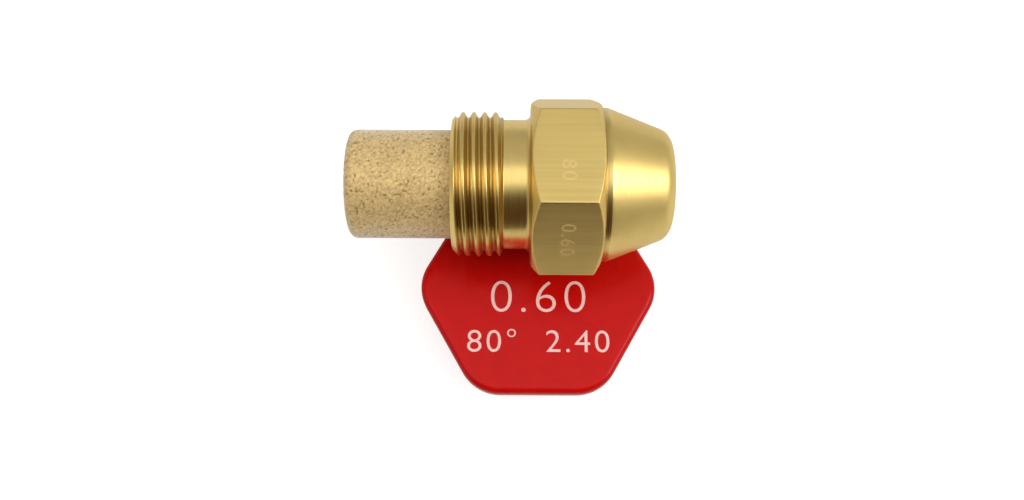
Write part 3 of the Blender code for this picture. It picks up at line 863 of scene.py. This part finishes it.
class BodySettings(bpy.types.PropertyGroup):
    """Sizes and finish of the brass body."""

    thread_pitch: length_setting("Thread pitch", "Distance between crests, 24 to the inch", 25.4 / 24.0 * MM)
    thread_depth: length_setting("Thread depth", "Height from root to crest", 0.55 * MM)
    crest_width: length_setting("Crest width", "Flat on top of the thread", 0.243 * MM)
    crest_easing: length_setting("Crest easing", "How far the crest and root are rounded", 0.08 * MM)
    thread_start: share_setting("Thread start", "Share of a turn at which the thread starts", 0.121)
    corner_rounding: length_setting("Hexagon corner", "Radius of the bar's six corners", 0.25 * MM)
    brass: colour_setting("Brass", "Colour of the bright brass", "#EED080")
    # Oil stain colour, also used as painted shade in the thread's roots, on the collar and in the fillet
    stain_and_shade: colour_setting("Stain", "Colour of the brass under oil", "#7A5420")
    # Pale stamp colour: brass with a painted highlight on the stamped strokes
    stamp_brass_and_highlight: colour_setting("Stamp", "Colour of the stamped numbers", "#F0D794")
    steel: colour_setting("Steel", "Colour of the stainless pieces", "#C3C1BC")
    roughness: share_setting("Roughness", "How far a reflection spreads on the bright brass", 0.29)
    satin_roughness: share_setting("Satin roughness", "How much rougher the nose is", 0.12)
    upper_stamp: number_setting("Upper stamp", "Plain number stamped on the upper flat", "80")
    front_stamp: number_setting("Front stamp", "Plain number stamped on the front flat", "0.60")


class FilterSettings(bpy.types.PropertyGroup):
    """Grain and colour of the sintered filter."""

    grain_size: length_setting("Grain size", "Spacing of the bronze grains", 0.22 * MM)
    pore_depth: length_setting("Pore depth", "Depth of the pores between the grains", 0.12 * MM)
    bronze: colour_setting("Bronze", "Colour of the grains", "#E8C684")
    # Colour of the painted shade in the pores between the grains
    pore_shade: colour_setting("Pores", "Colour between the grains", "#A27F46")


class LidSettings(bpy.types.PropertyGroup):
    """Colours and print of the lid."""

    plastic: colour_setting("Plastic", "Colour of the moulded lid", "#CA0C08")
    ink: colour_setting("Ink", "Colour of the printed numbers", "#FFD0C8")
    upper_line: number_setting("Upper line", "Plain number printed large", "0.60")
    lower_line: number_setting("Lower line", "Plain numbers printed small", "80°  2.40")


class StageSettings(bpy.types.PropertyGroup):
    """Light and floor."""

    key_radiance: light_setting("Key light", "Brightness of the soft box overhead", 0.85)
    back_level: light_setting("Back level", "Brightness of the room at the height of the object", 0.42)
    upper_level: light_setting("Upper level", "Brightness of the room overhead", 0.58)
    front_level: light_setting("Front level", "Brightness of the room in front of the object", 0.06)
    fill_radiance: light_setting("Fill light", "Brightness of the lamp that metal doesn't mirror", 0.35)
    nose_radiance: light_setting("Nose light", "Brightness of the soft lamp towards the nose", 4.4)
    floor_lift: light_setting("Floor lift", "Light added to the floor where the camera sees it", 0.66)
    mirrored_lift: light_setting("Mirrored lift", "Light added to the floor where metal mirrors it", 0.18)
    card: colour_setting("Card", "Colour of the card in front", "#4B3826")
    paper: colour_setting("Paper", "Colour of the floor", "#CFCFCC")


# Operators

class NOZZLE_OT_build_body(bpy.types.Operator):
    """Make the brass body with its thread, hexagon, collar and nose"""

    bl_idname = "burner_nozzle.build_body"
    bl_label = "Build brass body"

    def execute(self, context):
        settings = context.scene.nozzle_body
        angles = hexagon_columns()
        hex_radius = hexagon_radius(angles, FLAT_RADIUS, settings.corner_rounding)
        rows = profile_rows(body_corners(hex_radius), len(angles), True)
        x = rows[..., 0]
        r = rows[..., 1]
        outside = r > SOCKET_RADIUS + 2.0 * BROKEN_EDGE
        shank = outside & (x < NECK_X)
        cut = soft_min(r, thread_cut(x, angles[None, :], settings), settings.crest_easing)
        cut = np.maximum(cut, NECK_RADIUS)
        on_flat = (np.abs(r - hex_radius[None, :]) < FLAT_TOLERANCE) & (x > HEX_X) & (x < COLLAR_X)
        on_chamfer = outside & ~on_flat & (x > HEX_X + BROKEN_EDGE) & (x < COLLAR_X - BROKEN_EDGE)
        on_nose = (x > NOSE_X + BROKEN_EDGE) & (r > MOUTH_RADIUS + MOUTH_CHAMFER)
        # Oil stain on the thread, with painted shade in its roots, on the collar next to the hexagon and in
        # the fillet
        stain_and_shade = oil_stain_and_painted_shade(x, cut, shank & (x > LEAD_CHAMFER), settings)
        labels = {
            "drawn_flat": on_flat.astype(float),
            "satin": on_nose + FLAT_SATIN * on_flat + CHAMFER_SATIN * on_chamfer,
            "stain_and_shade": np.where(outside, stain_and_shade, 0.0),
        }
        rows[..., 1] = np.where(shank, cut, r)
        mesh = grid_mesh("brass_body", spun(rows, angles), True, labels)
        piece("brass_body", mesh, machined_brass(settings), "nozzle", "nozzle_body")
        self.stamp_flats(settings)
        return {"FINISHED"}

    def stamp_flats(self, settings):
        """Plain numbers on two flats, running down the flat with their tops towards the nose."""
        stamped = stamped_brass(settings)
        middle_x = (HEX_X + COLLAR_X) / 2.0
        on_axis = Matrix.Translation((SEAT_X + middle_x, AXIS_Y, AXIS_Z))
        upright = Matrix(((0.0, 1.0, 0.0), (-1.0, 0.0, 0.0), (0.0, 0.0, 1.0))).to_4x4()
        marks = (
            ("stamp_upper", settings.upper_stamp, UPPER_STAMP_WIDTH, 0.0, UPPER_STAMP_ACROSS),
            ("stamp_front", settings.front_stamp, FRONT_STAMP_WIDTH, FRONT_FLAT_DEG, 0.0),
        )
        for name, words, width, turn_deg, across in marks:
            turn = Matrix.Rotation(math.radians(turn_deg), 4, "X")
            on_flat = Matrix.Translation((0.0, across, FLAT_RADIUS - STAMP_BELOW))
            place = on_axis @ turn @ on_flat @ upright
            mesh = text_mesh(name, words, width, STAMP_HEIGHT, STAMP_DEPTH, 0.0, place)
            piece(name, mesh, stamped, "nozzle")


class NOZZLE_OT_build_inner(bpy.types.Operator):
    """Make the turned pieces that show at the nose and the rear, and finish the ones inside"""

    bl_idname = "burner_nozzle.build_inner"
    bl_label = "Build inner pieces"

    def execute(self, context):
        settings = context.scene.nozzle_body
        angles = np.linspace(0.0, 2.0 * math.pi, INNER_COLUMNS, endpoint=False)
        steel = stainless_steel(settings)
        brass = plain_brass(settings)
        orifice_x = DISC_REAR_X + SWIRL_MOUTH_RADIUS - ORIFICE_RADIUS
        disc = [
            (DISC_REAR_X, SWIRL_MOUTH_RADIUS, BROKEN_EDGE, 2),
            (DISC_REAR_X, DISC_RADIUS, BROKEN_EDGE, 2),
            (DISC_REAR_X + DISC_THICKNESS, DISC_RADIUS, BROKEN_EDGE, 2),
            (DISC_REAR_X + DISC_THICKNESS, DISC_BOSS_RADIUS, BROKEN_EDGE, 2),
            (DISC_FRONT_X, DISC_BOSS_RADIUS, BROKEN_EDGE, 2),
            (DISC_FRONT_X, EXIT_RADIUS, BROKEN_EDGE, 3),
            (orifice_x + ORIFICE_LENGTH, ORIFICE_RADIUS, BROKEN_EDGE, 1),
            (orifice_x, ORIFICE_RADIUS, BROKEN_EDGE, 3),
        ]
        mesh = grid_mesh("steel_orifice_disc", spun(profile_rows(disc, INNER_COLUMNS, True), angles), True)
        piece("steel_orifice_disc", mesh, steel, "nozzle", "orifice_disc")
        flange_x = RING_FRONT_X - RING_FLANGE
        ring = [
            (RING_REAR_X, RING_BORE_RADIUS, BROKEN_EDGE, 2),
            (RING_REAR_X, RING_SLEEVE_RADIUS, BROKEN_EDGE, 2),
            (flange_x, RING_SLEEVE_RADIUS, BROKEN_EDGE, 2),
            (flange_x, FILTER_RADIUS, BROKEN_EDGE, 2),
            (RING_FRONT_X, FILTER_RADIUS, BROKEN_EDGE, 2),
            (RING_FRONT_X, RING_BORE_RADIUS, BROKEN_EDGE, 3),
        ]
        mesh = grid_mesh("brass_filter_ring", spun(profile_rows(ring, INNER_COLUMNS, True), angles), True)
        piece("brass_filter_ring", mesh, brass, "insert", "filter_base")
        for name, material in (("distributor", steel), ("retaining_screw", brass)):
            kept = frame["nodes"][name]
            kept.data.materials.clear()
            kept.data.materials.append(material)
        return {"FINISHED"}


class NOZZLE_OT_build_filter(bpy.types.Operator):
    """Make the sintered bronze cup out of its grains"""

    bl_idname = "burner_nozzle.build_filter"
    bl_label = "Build sintered filter"

    def execute(self, context):
        settings = context.scene.nozzle_filter
        angles = np.linspace(0.0, 2.0 * math.pi, FILTER_COLUMNS, endpoint=False)
        rows = filter_rows(FILTER_COLUMNS)
        distance, tone = grain_field(spun(rows, angles), settings.grain_size)
        pore = 1.0 - np.sqrt(np.maximum(1.0 - np.minimum(distance, 1.0) ** 2, 0.0))
        outer = rows[..., 1] > FILTER_RADIUS - FILTER_WALL / 2.0
        at_end = rows[..., 0] < FILTER_END_X + FILTER_WALL / 2.0
        depth = np.where(outer | at_end, pore * settings.pore_depth, 0.0)
        shaped = sink(rows, depth)
        labels = {"pore": pore, "tone": tone}
        mesh = grid_mesh("bronze_filter", spun(shaped, angles), False, labels)
        piece("bronze_filter", mesh, sintered_bronze(settings), "insert",
              "sintered_filter")
        return {"FINISHED"}


class NOZZLE_OT_build_lid(bpy.types.Operator):
    """Make the moulded lid with its hollow plug"""

    bl_idname = "burner_nozzle.build_lid"
    bl_label = "Build lid"

    def execute(self, context):
        settings = context.scene.nozzle_lid
        points = lid_rows() + np.array([LID_X, LID_Y, 0.0])
        mesh = grid_mesh("red_lid", points, False)
        piece("red_lid", mesh, red_plastic(settings), "lid", "tube_cap")
        return {"FINISHED"}


class NOZZLE_OT_build_print(bpy.types.Operator):
    """Print two lines of plain numbers on the lid"""

    bl_idname = "burner_nozzle.build_print"
    bl_label = "Build print"

    def execute(self, context):
        settings = context.scene.nozzle_lid
        ink = printed_ink(settings)
        lines = (
            ("print_upper", settings.upper_line, UPPER_LINE_WIDTH, UPPER_LINE_HEIGHT, UPPER_LINE_WEIGHT,
             UPPER_LINE_Y),
            ("print_lower", settings.lower_line, LOWER_LINE_WIDTH, LOWER_LINE_HEIGHT, LOWER_LINE_WEIGHT,
             LOWER_LINE_Y),
        )
        for name, words, width, height, weight, y in lines:
            place = Matrix.Translation((LID_X, LID_Y + y, LID_TOP + FILM_THICKNESS / 4.0))
            mesh = text_mesh(name, words, width, height, FILM_THICKNESS, weight, place)
            piece(name, mesh, ink, "lid")
        return {"FINISHED"}


class NOZZLE_OT_build_stage(bpy.types.Operator):
    """Set the floor, the light and the camera"""

    bl_idname = "burner_nozzle.build_stage"
    bl_label = "Build stage"

    def execute(self, context):
        scene = context.scene
        settings = scene.nozzle_stage
        scene.view_settings.view_transform = "Standard"
        self.lay_floor(scene, settings)
        self.stand_card(scene, settings)
        self.hang_lamps(scene, settings)
        self.light_room(scene, settings)
        self.stand_camera(scene)
        return {"FINISHED"}

    def lay_floor(self, scene, settings):
        """Flat sheet of paper at table level, far larger than the set."""
        half = FLOOR_HALF
        corners = [(-half, -half, 0.0), (half, -half, 0.0), (half, half, 0.0), (-half, half, 0.0)]
        mesh = bpy.data.meshes.new("paper_floor")
        mesh.from_pydata(corners, [], [(0, 1, 2, 3)])
        mesh.materials.append(white_paper(settings))
        floor = bpy.data.objects.new("paper_floor", mesh)
        scene.collection.objects.link(floor)

    def stand_card(self, scene, settings):
        """Upright card a little in front of the set, which only mirrored rays meet."""
        front_y = AXIS_Y - CARD_AHEAD
        corners = [(-CARD_HALF_WIDTH, front_y, 0.0), (CARD_HALF_WIDTH, front_y, 0.0),
                   (CARD_HALF_WIDTH, front_y, CARD_HEIGHT), (-CARD_HALF_WIDTH, front_y, CARD_HEIGHT)]
        mesh = bpy.data.meshes.new("brown_card")
        mesh.from_pydata(corners, [], [(0, 1, 2, 3)])
        mesh.materials.append(dark_card(settings))
        card = bpy.data.objects.new("brown_card", mesh)
        card.visible_camera = False
        card.visible_diffuse = False
        card.visible_transmission = False
        card.visible_shadow = False
        scene.collection.objects.link(card)

    def hang_lamps(self, scene, settings):
        """Long soft box overhead, mirrored as a band along the round parts, a soft lamp and a fill.

        The lamp to the right lights the nose. The fill lights only what is matt, because it isn't mirrored.
        """
        lamps = (
            ("soft_box", SOFT_BOX_SIZE, settings.key_radiance, Vector(SOFT_BOX_PLACE), True),
            ("nose_lamp", NOSE_LAMP_SIZE, settings.nose_radiance, Vector(NOSE_LAMP_PLACE), True),
            ("fill_lamp", FILL_LAMP_SIZE, settings.fill_radiance, Vector(FILL_LAMP_PLACE), False),
        )
        for name, (length, depth), radiance, place, mirrored in lamps:
            lamp = bpy.data.lights.new(name, "AREA")
            lamp.shape = "RECTANGLE"
            lamp.size = length
            lamp.size_y = depth
            lamp.energy = radiance * math.pi * length * depth
            holder = bpy.data.objects.new(name, lamp)
            holder.location = place
            holder.visible_glossy = mirrored
            towards_set = Vector((0.0, place.y, 0.0)) - place
            holder.rotation_euler = towards_set.to_track_quat("-Z", "Y").to_euler()
            scene.collection.objects.link(holder)

    def light_room(self, scene, settings):
        """Room that is lighter overhead, with a dark patch in front, and white where the camera sees it."""
        world = bpy.data.worlds.new("studio_room")
        scene.world = world
        world.use_nodes = True
        tree = world.node_tree
        rise = math.radians(PATCH_RISE_DEG)
        aside = math.radians(PATCH_ASIDE_DEG)
        patch = (-math.cos(rise) * math.sin(aside), -math.cos(rise) * math.cos(aside), math.sin(rise))
        coords = node(tree, "ShaderNodeTexCoord")
        axes = node(tree, "ShaderNodeSeparateXYZ", {"Vector": coords.outputs["Generated"]})
        room = ranged(tree, axes.outputs["Z"], settings.back_level, settings.upper_level)
        nearness = node(tree, "ShaderNodeVectorMath", {0: coords.outputs["Generated"], 1: patch},
                        operation="DOT_PRODUCT")
        outer = math.cos(math.radians(PATCH_OUTER_DEG))
        inner = math.cos(math.radians(PATCH_INNER_DEG))
        shade = node(tree, "ShaderNodeMapRange", {"Value": nearness.outputs["Value"], "From Min": outer,
                                                  "From Max": inner}, interpolation_type="SMOOTHSTEP")
        level = node(tree, "ShaderNodeMix", {"Factor": shade.outputs["Result"], "A": room,
                                             "B": settings.front_level})
        path = node(tree, "ShaderNodeLightPath")
        shown = node(tree, "ShaderNodeMix", {"Factor": path.outputs["Is Camera Ray"],
                                             "A": level.outputs["Result"], "B": 1.0})
        background = tree.nodes["Background"]
        background.inputs["Color"].default_value = (1.0, 1.0, 1.0, 1.0)
        tree.links.new(shown.outputs["Result"], background.inputs["Strength"])

    def stand_camera(self, scene):
        """Camera above and in front of the set, where the photograph was taken from."""
        ray = math.radians(CAMERA_RAY_DEG)
        lift = math.atan((IMAGE_HEIGHT / 2.0 - AXIS_ROW) / FOCAL_PIXELS)
        lens = bpy.data.cameras.new("photo_camera")
        lens.sensor_fit = "HORIZONTAL"
        lens.sensor_width = SENSOR_WIDTH_MM
        lens.lens = FOCAL_PIXELS / IMAGE_WIDTH * SENSOR_WIDTH_MM
        lens.clip_start = CLIP_START
        camera = bpy.data.objects.new("photo_camera", lens)
        turn = math.radians(CAMERA_TURN_DEG)
        aim = Vector((SEAT_X + CAMERA_AHEAD_OF_SEAT, AXIS_Y, AXIS_Z))
        away = Vector((math.sin(turn) * math.cos(ray), -math.cos(turn) * math.cos(ray), math.sin(ray)))
        camera.location = aim + away * CAMERA_REACH
        camera.rotation_euler = (math.pi / 2.0 - ray - lift, 0.0, turn)
        scene.collection.objects.link(camera)
        scene.camera = camera


class NOZZLE_PT_dressing(bpy.types.Panel):
    """Steps and settings of the dressing"""

    bl_label = "Burner Nozzle"
    bl_idname = "NOZZLE_PT_dressing"
    bl_space_type = "VIEW_3D"
    bl_region_type = "UI"
    bl_category = "Burner Nozzle"

    def draw(self, context):
        for operator in OPERATORS:
            self.layout.operator(operator.bl_idname)
        for label in SETTINGS:
            group = getattr(context.scene, label)
            for entry in group.bl_rna.properties:
                if entry.identifier not in ("rna_type", "name"):
                    self.layout.prop(group, entry.identifier)


SETTINGS = {
    "nozzle_body": BodySettings,
    "nozzle_filter": FilterSettings,
    "nozzle_lid": LidSettings,
    "nozzle_stage": StageSettings,
}
OPERATORS = (
    NOZZLE_OT_build_body,
    NOZZLE_OT_build_inner,
    NOZZLE_OT_build_filter,
    NOZZLE_OT_build_lid,
    NOZZLE_OT_build_print,
    NOZZLE_OT_build_stage,
)


def register():
    """Register the settings, the operators and the panel."""
    for label, group in SETTINGS.items():
        bpy.utils.register_class(group)
        setattr(bpy.types.Scene, label, bpy.props.PointerProperty(type=group))
    for operator in OPERATORS:
        bpy.utils.register_class(operator)
    bpy.utils.register_class(NOZZLE_PT_dressing)


def unregister():
    """Take everything out again, in the opposite order."""
    bpy.utils.unregister_class(NOZZLE_PT_dressing)
    for operator in reversed(OPERATORS):
        bpy.utils.unregister_class(operator)
    for label, group in reversed(list(SETTINGS.items())):
        delattr(bpy.types.Scene, label)
        bpy.utils.unregister_class(group)


def main():
    """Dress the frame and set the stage."""
    register()
    bpy.ops.burner_nozzle.build_body()
    bpy.ops.burner_nozzle.build_inner()
    bpy.ops.burner_nozzle.build_filter()
    bpy.ops.burner_nozzle.build_lid()
    bpy.ops.burner_nozzle.build_print()
    bpy.ops.burner_nozzle.build_stage()


if __name__ == "__main__":
    main()
